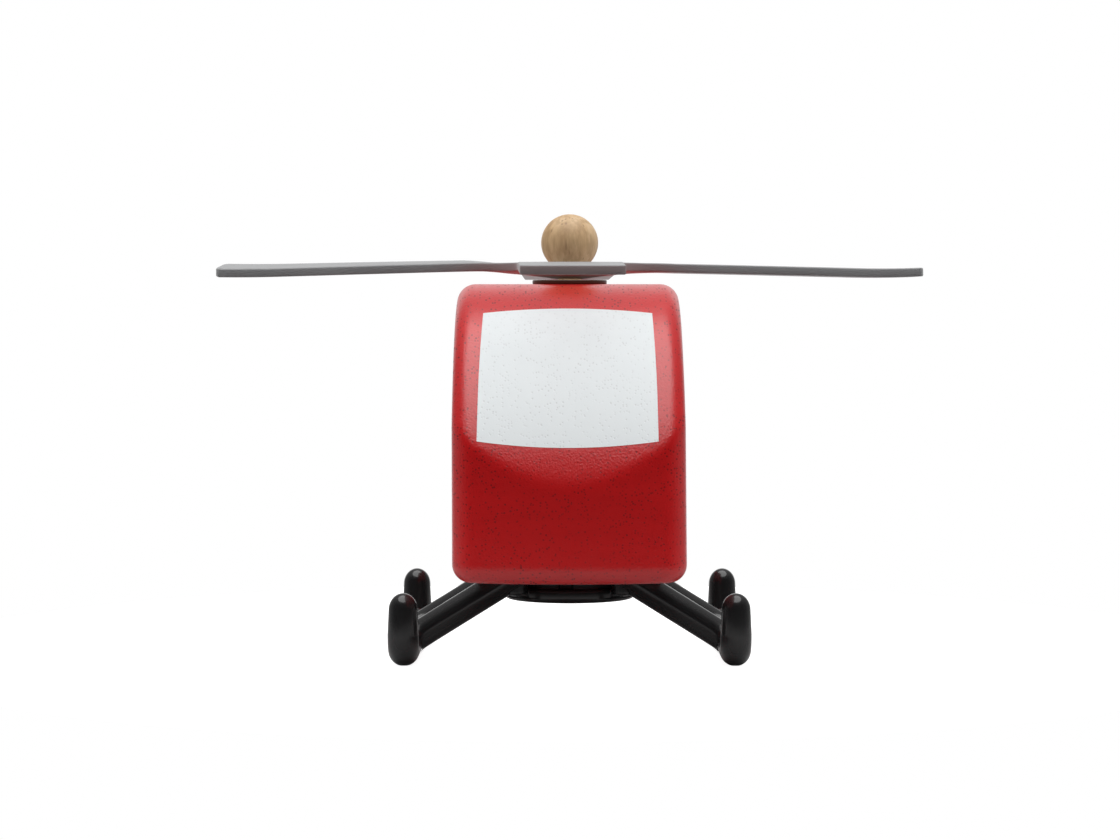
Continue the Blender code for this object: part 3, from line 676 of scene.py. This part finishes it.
def applied(obj, name, place=TO_AXIS):
    """The mesh of an object with its modifiers, put in place; the object itself goes."""
    bpy.context.scene.collection.objects.link(obj)
    bpy.context.view_layer.update()
    mesh = bpy.data.meshes.new_from_object(obj.evaluated_get(bpy.context.evaluated_depsgraph_get()))
    mesh.name = name
    mesh.transform(place)
    bpy.data.objects.remove(obj, do_unlink=True)
    return mesh


def from_bore(x, y, half, bore_cells, bore, corner):
    """A point of the middle square of a cross: a circle round the bore that turns into the square."""
    share = (max(abs(x), abs(y)) - bore_cells) / (half - bore_cells)
    circle = Vector((x, y, 0)).normalized() * (bore + (corner - bore) * share)
    square = Vector((x, y, 0)) * corner / half
    return circle.lerp(square, share)


def rotor_point(x, y, half, along):
    """Where a point of the cross's grid goes on the main rotor."""
    if max(abs(x), abs(y)) <= half:
        spot = from_bore(x, y, half, BORE_CELLS, BORE_RADIUS, CROTCH)
        return Vector((spot.x, spot.y, sheet_height(spot.length)))
    side = (math.copysign(1, x), 0) if abs(x) > half else (0, math.copysign(1, y))
    out = Vector((side[0], side[1], 0))
    step = (max(abs(x), abs(y)) - half) / along
    offset = (out.x * y - out.y * x) / half
    corner = max(abs(offset) - TIP_STRAIGHT, 0) / (1 - TIP_STRAIGHT)
    tip = ROTOR_RADIUS - TIP_CORNER * corner ** 2
    radius = CROTCH + step ** CELL_SPREAD * (tip - CROTCH)
    wide = offset * half_chord(radius)
    spot = out * radius + Vector((-out.y, out.x, 0)) * wide
    spot.z = sheet_height(spot.length)
    root = min(max((radius - CROTCH) / (CREST_RADIUS - CROTCH), 0), 1)
    spot.z += BLADE_LIFT.get(side, 0) * root
    curl = max(radius - CURL_START, 0) / (ROTOR_RADIUS - CURL_START)
    spot.z += TIP_CURL.get(side, 0) * curl ** 2
    if side == WARPED_SIDE:
        outer = max((radius - CREST_RADIUS) / (ROTOR_RADIUS - CREST_RADIUS), 0)
        spot.z -= wide * math.tan(ROOT_WARP + (TIP_WARP - ROOT_WARP) * outer) * root
    return spot


def build_rotor():
    place = TO_AXIS @ Matrix.Translation((0, 0, hub_underside)) @ Matrix.Rotation(ROTOR_YAW, 4, "Z")
    mesh = cross_mesh("rotor_cross", 20, 60, BORE_CELLS, rotor_point, BLADE_THICKNESS, BLADE_EDGE, place)
    cross = piece("rotor_cross", mesh, ROTOR_GREY, "main_rotor", ["main_rotor"], sharp=35)
    cross.visible_glossy = False                # it would darken the sheen of the roof

    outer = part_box("spacer_washer")[1].x
    foot, head = BODY_TOP, hub_underside - WASHER_CLEARANCE
    bm = bmesh.new()
    ring = [(WASHER_BORE, head), (outer, head), (outer, foot), (WASHER_BORE, foot)]
    turned(bm, rounded(ring, WASHER_EDGE), loop=True)
    piece("washer_ring", mesh_from("washer_ring", bm), WASHER, AIRFRAME, ["spacer_washer"])

    bm = bmesh.new()
    turned(bm, arc((0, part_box("rotor_ball")[1].z - BALL_RADIUS), BALL_RADIUS, -90, 90, 72))
    piece("axle_ball", mesh_from("axle_ball", bm), BALL_WOOD, AIRFRAME, ["rotor_ball"])
    paint("rotor_post", PEG_WOOD)


# --- landing gear -------------------------------------------------------------------------
SKID_X = 51.6 * MM
SKID_RADIUS = 4.85 * MM
SKID_TIP_RADIUS = 4.5 * MM
SKID_DOME = 5.2 * MM
SKID_END_Y = 44.5 * MM
SKID_TOP = 23.0 * MM
SKID_BEND = 5.6 * MM
SKID_FLAT = 0.3 * MM
STRUT_RADIUS = 4.55 * MM
STRUT_Y = 17.5 * MM
STRUT_SLOPE = math.radians(31.9)
STRUT_FOOT_Z = 4.9 * MM
STRUT_INNER_X = 17.5 * MM
STRUT_FLARE = 0.7 * MM
STRUT_FLARE_LENGTH = 0.9 * MM
STRUT_SINK = 0.2 * MM                           # how deep a strut's foot goes into the skid
HUB_TOP = hub_high.z
HUB_BOTTOM = hub_low.z
HUB_RADIUS = 21.2 * MM
HUB_STEP = 21.6 * MM
HUB_EDGE = 1.6 * MM
HUB_LIP = 0.5 * MM
DRUM_RADIUS = 19.4 * MM
LOBE_RADIUS = 3.8 * MM
LOBE_X = 17.3 * MM
LOBE_Y = 16.6 * MM
LOBE_BOTTOM = 19.9 * MM
NOTCH_WIDTH = 4.5 * MM
NOTCH_X = -1.2 * MM
NOTCH_TOP = 26.5 * MM
NOTCH_DEPTH = 2.5 * MM
SCREW_CIRCLE = 11 * MM
SCREW_HEAD_RADIUS = 3.2 * MM
SCREW_SEAT = 20.2 * MM
SCREW_HEAD_HEIGHT = 1.8 * MM
SCREW_HEAD_EDGE = 0.6 * MM
SCREW_CROWN_RADIUS = 4.6 * MM
SCREW_CLEARANCE = 0.4 * MM
SCREW_GAP = 0.1 * MM                            # over a screw's head
RECESS_ARM = 1.7 * MM
RECESS_HALF_WIDTH = 0.35 * MM
RECESS_DEPTH = 1 * MM


def skid_mesh(side, name, steps=48):
    """A tube with both ends turned up and domed, flat under the runner."""
    low = SKID_RADIUS - SKID_FLAT
    bend_y = SKID_END_Y - SKID_BEND
    spine = []
    for height in np.radians(np.linspace(88, 0, 12)):
        spine.append((SKID_END_Y, SKID_TOP - SKID_DOME * (1 - math.sin(height)), 0.0,
                      SKID_TIP_RADIUS * math.cos(height)))
    for turn in np.linspace(0, math.pi / 2, 17):
        y, z = bend_y + SKID_BEND * math.cos(turn), low + SKID_BEND - SKID_BEND * math.sin(turn)
        spine.append((y, z, turn, SKID_RADIUS))
    for y in np.linspace(bend_y, 0, 20)[1:-1]:
        spine.append((y, low, math.pi / 2, SKID_RADIUS))
    spine += [(-y, z, math.pi - turn, radius) for y, z, turn, radius in reversed(spine)]
    angles = np.linspace(0, 2 * math.pi, steps, endpoint=False)
    rows = []
    for y, z, turn, radius in spine:
        ring = []
        for a in angles:
            away = radius * math.cos(a)
            ring.append((side * SKID_X + radius * math.sin(a), y + away * math.cos(turn),
                         max(z - away * math.sin(turn), 0)))
        rows.append(ring)
    bm = bmesh.new()
    skin(bm, rows)
    return mesh_from(name, bm)


def strut_mesh(side, end, name, steps=48):
    """A round bar that runs from the hub down to the skid, flared a little where it meets it."""
    run = SKID_X - STRUT_INNER_X
    foot = Vector((side * SKID_X, end * STRUT_Y, STRUT_FOOT_Z))
    head = Vector((side * STRUT_INNER_X, end * STRUT_Y, STRUT_FOOT_Z + run * math.tan(STRUT_SLOPE)))
    along = (head - foot).normalized()
    up = Vector((0, 1, 0)).cross(along).normalized()
    length = (head - foot).length
    rows = []
    for share in np.concatenate([np.linspace(0, 0.12, 9), np.linspace(0.12, 1, 22)[1:]]):
        ring = []
        for a in np.linspace(0, 2 * math.pi, steps, endpoint=False):
            out = (Vector((0, 1, 0)) * math.cos(a) + up * math.sin(a)) * STRUT_RADIUS
            start = math.sqrt(max(SKID_RADIUS ** 2 - out.dot(up) ** 2, 0)) - STRUT_SINK
            reach = start + share * (length - start)
            flare = STRUT_FLARE * math.exp(-(reach - start) / STRUT_FLARE_LENGTH)
            spot = foot + along * reach + out * (1 + flare / STRUT_RADIUS)
            spot.z = min(spot.z, HUB_TOP)
            ring.append(spot)
        rows.append(ring)
    bm = bmesh.new()
    skin(bm, rows)
    return mesh_from(name, bm)


def cut(obj, bm, operation):
    """Boolean an object with a tool that is held in a bmesh.  Returns the tool, which goes later."""
    bmesh.ops.recalc_face_normals(bm, faces=bm.faces)
    mesh = bpy.data.meshes.new("tool")
    bm.to_mesh(mesh)
    bm.free()
    tool = bpy.data.objects.new("tool", mesh)
    bpy.context.scene.collection.objects.link(tool)
    modifier = obj.modifiers.new("cut", "BOOLEAN")
    modifier.object = tool
    modifier.operation = operation
    tool.hide_render = True
    return tool


def bar(radius, start, end, segments=48):
    """A round bar between two points, as a bmesh."""
    start, end = Vector(start), Vector(end)
    bm = bmesh.new()
    place = Matrix.Translation((start + end) / 2) @ (end - start).to_track_quat("Z", "Y").to_matrix().to_4x4()
    bmesh.ops.create_cone(bm, cap_ends=True, segments=segments, radius1=radius, radius2=radius,
                          depth=(end - start).length, matrix=place)
    return bm


def cuboid(low, high):
    """A box between two corners, as a bmesh."""
    low, high = Vector(low), Vector(high)
    bm = bmesh.new()
    bmesh.ops.create_cube(bm, size=1)
    bmesh.ops.scale(bm, vec=high - low, verts=bm.verts)
    bmesh.ops.translate(bm, vec=(low + high) / 2, verts=bm.verts)
    return bm


def screw_spots():
    """Where the three screws stand, about the rotor's axis."""
    angles = [math.radians(90 + 120 * i) for i in range(3)]
    return [Vector((SCREW_CIRCLE * math.cos(a), SCREW_CIRCLE * math.sin(a), 0)) for a in angles]


def hub_mesh():
    """The moulding under the body: a drum on a wider disc, with a lobe for each strut."""
    bm = bmesh.new()
    edge = arc((HUB_RADIUS - HUB_EDGE, HUB_BOTTOM + HUB_EDGE), HUB_EDGE, 0, -90, 8)
    drum = [(0, HUB_TOP), (DRUM_RADIUS, HUB_TOP), (DRUM_RADIUS, HUB_STEP)]
    lip = [(HUB_RADIUS - HUB_LIP, HUB_STEP), (HUB_RADIUS, HUB_STEP - HUB_LIP)]
    turned(bm, drum + lip + edge + [(0, HUB_BOTTOM)], 144)
    hub = bpy.data.objects.new("hub", mesh_from("hub", bm, UNMOVED))
    tools = []
    for side, end, _ in CORNERS:
        foot = Vector((side * LOBE_X, end * LOBE_Y, LOBE_BOTTOM))
        tools.append(cut(hub, bar(LOBE_RADIUS, foot, foot + Vector((0, 0, HUB_TOP - LOBE_BOTTOM))), "UNION"))
    notch_left, notch_right = NOTCH_X - NOTCH_WIDTH / 2, NOTCH_X + NOTCH_WIDTH / 2
    notch = cuboid((notch_left, -HUB_RADIUS, HUB_STEP), (notch_right, NOTCH_DEPTH - DRUM_RADIUS, NOTCH_TOP))
    tools.append(cut(hub, notch, "DIFFERENCE"))
    for spot in screw_spots():
        seat = spot + Vector((0, 0, SCREW_SEAT))
        tools.append(cut(hub, bar(SCREW_HEAD_RADIUS + SCREW_CLEARANCE, spot, seat), "DIFFERENCE"))
    remesh = hub.modifiers.new("even", "REMESH")
    remesh.mode = "VOXEL"
    remesh.voxel_size = 0.36 * MM
    smooth = hub.modifiers.new("soft", "SMOOTH")
    smooth.iterations = 4
    made = applied(hub, "hub_moulding")
    for tool in tools:
        bpy.data.objects.remove(tool, do_unlink=True)
    return made


def screw_mesh(name, spot):
    """A pan-head screw, head down, with a cross recess."""
    seat = SCREW_SEAT - SCREW_GAP
    base = seat - SCREW_HEAD_HEIGHT
    head = arc((0, base + SCREW_CROWN_RADIUS), SCREW_CROWN_RADIUS, -90, -52, 8)
    rim = [(SCREW_HEAD_RADIUS, seat - SCREW_HEAD_EDGE), (SCREW_HEAD_RADIUS, seat), (0, seat)]
    bm = bmesh.new()
    turned(bm, head + rim, 64)
    screw = bpy.data.objects.new(name + "_blank", mesh_from(name + "_blank", bm, UNMOVED))
    arms = ((RECESS_ARM, RECESS_HALF_WIDTH), (RECESS_HALF_WIDTH, RECESS_ARM))
    tools = [cut(screw, cuboid((-a, -b, base - RECESS_DEPTH), (a, b, base + RECESS_DEPTH)), "DIFFERENCE")
             for a, b in arms]
    made = applied(screw, name, TO_AXIS @ Matrix.Translation(spot))
    for tool in tools:
        bpy.data.objects.remove(tool, do_unlink=True)
    return made


def build_gear():
    piece("hub_moulding", hub_mesh(), BLACK, AIRFRAME, ["gear_hub"], sharp=80)
    for side, name in ((1, "left"), (-1, "right")):
        label = f"skid_tube_{name}"
        piece(label, skid_mesh(side, label), BLACK, AIRFRAME, [f"skid_{name}"])
    for side, end, name in CORNERS:
        label = f"strut_bar_{name}"
        piece(label, strut_mesh(side, end, label), BLACK, AIRFRAME, [f"strut_{name}"])
    for i, spot in enumerate(screw_spots(), start=1):
        label = f"hub_screw_{i}"
        piece(label, screw_mesh(label, spot), STEEL, AIRFRAME, [f"gear_screw_{i}"], sharp=35)


# --- tail ---------------------------------------------------------------------------------
BOOM_THICKNESS = boom_high.x - boom_low.x
BOOM_EDGE = 3 * MM
TAIL_REACH = boom_high.y - axis_y - 0.4 * MM    # the curve swings a little past its points
SIDE_ON = Matrix.Rotation(math.pi / 2, 4, "Z") @ Matrix.Rotation(math.pi / 2, 4, "X")


def plank_mesh():
    """The tail: a boom that sweeps up into a fin, all one plank with rounded edges."""
    root = REAR_Y - 8 * MM
    points = [(root, 62 * MM), (92 * MM, 70 * MM), (121 * MM, 77.5 * MM), (134 * MM, 84 * MM),
              (TAIL_REACH, 110 * MM), (138 * MM, 116 * MM), (130 * MM, 115.5 * MM),
              (119 * MM, 106.5 * MM), (105 * MM, 98.5 * MM), (82 * MM, 97.5 * MM), (root, 100 * MM)]
    curve = bpy.data.curves.new("plank", "CURVE")
    curve.dimensions = "2D"
    curve.fill_mode = "BOTH"
    curve.extrude = BOOM_THICKNESS / 2 - BOOM_EDGE
    curve.bevel_depth = BOOM_EDGE
    curve.bevel_resolution = 8
    curve.offset = -BOOM_EDGE
    curve.resolution_u = 16
    spline = curve.splines.new("BEZIER")
    spline.bezier_points.add(len(points) - 1)
    spline.use_cyclic_u = True
    for point, (y, z) in zip(spline.bezier_points, points):
        point.co = (y, z, 0)
        point.handle_left_type = point.handle_right_type = "VECTOR" if y == root else "AUTO"
    flat = applied(bpy.data.objects.new("plank", curve), "plank", SIDE_ON)
    bm = bmesh.new()
    bm.from_mesh(flat)
    bpy.data.meshes.remove(flat)
    plank = bpy.data.objects.new("plank", mesh_from("plank", bm, UNMOVED, weld=1e-5))
    remesh = plank.modifiers.new("even", "REMESH")
    remesh.mode = "VOXEL"
    remesh.voxel_size = 0.7 * MM
    smooth = plank.modifiers.new("soft", "SMOOTH")
    smooth.iterations = 3
    even = applied(plank, "tail_plank", UNMOVED)
    bm = bmesh.new()
    bm.from_mesh(even)
    bpy.data.meshes.remove(even)
    everything = bm.verts[:] + bm.edges[:] + bm.faces[:]
    joint = (0, REAR_Y - 0.05 * MM, 0)
    cutting = bmesh.ops.bisect_plane(bm, geom=everything, dist=1e-6, plane_co=joint, plane_no=(0, -1, 0),
                                     clear_outer=True)
    rim = [item for item in cutting["geom_cut"] if isinstance(item, bmesh.types.BMEdge)]
    bmesh.ops.holes_fill(bm, edges=rim, sides=0)
    return mesh_from("tail_plank", bm)


TAIL_ROTOR_RADIUS = 18 * MM
TAIL_BLADE_THICKNESS = 2 * MM
TAIL_CHORD = 8.5 * MM
TAIL_TIP_CORNER = 2 * MM
TAIL_EDGE = 0.35 * MM
TAIL_WASHER_EDGE = 0.25 * MM
TAIL_CROTCH = 5 * MM
TAIL_ROTOR_TURN = math.radians(28)
TAIL_BORE = 1.9 * MM
TAIL_BORE_CELLS = 3


def tail_rotor_point(x, y, half, along):
    """Where a point of the cross's grid goes on the tail rotor."""
    far = max(abs(x), abs(y)) - half
    if far <= 0:
        return from_bore(x, y, half, TAIL_BORE_CELLS, TAIL_BORE, TAIL_CROTCH)
    offset = (y if abs(x) > half else x) / half
    tip = TAIL_ROTOR_RADIUS - TAIL_TIP_CORNER * abs(offset) ** 3
    radius = TAIL_CROTCH + far / along * (tip - TAIL_CROTCH)
    wide = offset * (TAIL_CHORD / 2 + max(1 - 2 * far / along, 0) ** 2 * (TAIL_CROTCH - TAIL_CHORD / 2))
    if abs(x) > half:
        return Vector((math.copysign(radius, x), wide, 0))
    return Vector((wide, math.copysign(radius, y), 0))


def build_tail():
    piece("tail_plank", plank_mesh(), RED, AIRFRAME, ["tail_boom"], sharp=50)
    paint("boom_dowel_lower", PEG_WOOD)
    paint("boom_dowel_upper", PEG_WOOD)

    sideways = Matrix.Rotation(math.pi / 2, 4, "Y")
    on_axis = TO_AXIS @ Matrix.Translation((0, tail_axis.y, tail_axis.z)) @ sideways
    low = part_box("tail_rotor")[0].x
    place = on_axis @ Matrix.Translation((0, 0, low)) @ Matrix.Rotation(TAIL_ROTOR_TURN, 4, "Z")
    mesh = cross_mesh("tail_cross", 12, 24, TAIL_BORE_CELLS, tail_rotor_point, TAIL_BLADE_THICKNESS,
                      TAIL_EDGE, place)
    piece("tail_cross", mesh, GREY, "tail_rotor", ["tail_rotor"], sharp=35)

    low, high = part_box("tail_washer")
    outer = (high.z - low.z) / 2
    bm = bmesh.new()
    ring = [(TAIL_BORE, high.x), (outer, high.x), (outer, low.x), (TAIL_BORE, low.x)]
    turned(bm, rounded(ring, TAIL_WASHER_EDGE), 64, loop=True)
    piece("tail_axle_washer", mesh_from("tail_axle_washer", bm, on_axis), WASHER, AIRFRAME, ["tail_washer"])

    low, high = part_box("tail_rotor_ball")
    radius = (high.z - low.z) / 2
    bm = bmesh.new()
    turned(bm, arc((0, high.x - radius), radius, -90, 90, 48), 72)
    piece("tail_axle_ball", mesh_from("tail_axle_ball", bm, on_axis), BALL_WOOD, AIRFRAME,
          ["tail_rotor_ball"])
    paint("tail_rotor_peg", STEEL)


RED = stained_wood()
INK = white_print()
BALL_WOOD = bare_wood("bare_ball_wood", (1, 1, 0.16))
PEG_WOOD = bare_wood("bare_dowel_wood", (1, 0.16, 1))
greys = ((0.255, 0.258, 0.263), (0.285, 0.288, 0.292))
# the main rotor's grey plastic, with painted red bounce light from the body on its edges and underside near
# the middle
ROTOR_GREY = moulded_plastic("rotor_plastic_painted_red_bounce", *greys, 0.38, 0.02, painted_red_bounce=(0.262, 0.208, 0.208))
GREY = moulded_plastic("grey_rotor_plastic", *greys, 0.24, 0.02)
BLACK = moulded_plastic("black_gear_plastic", (0.013, 0.013, 0.0135), (0.018, 0.018, 0.0185), 0.10, 0.02)
WASHER = moulded_plastic("dark_washer_plastic", (0.045, 0.019, 0.012), (0.065, 0.028, 0.018), 0.35, 0.02)
STEEL = plated_steel()

add_camera()
lamps = light_room()
add_floor()
build_body()
build_rotor()
build_gear()
build_tail()
over_the_roof = ("rotor_cross", "axle_ball", "main_rotor", "rotor_ball")
let_through(lamps, [obj for obj in bpy.context.scene.objects if obj.name in over_the_roof])
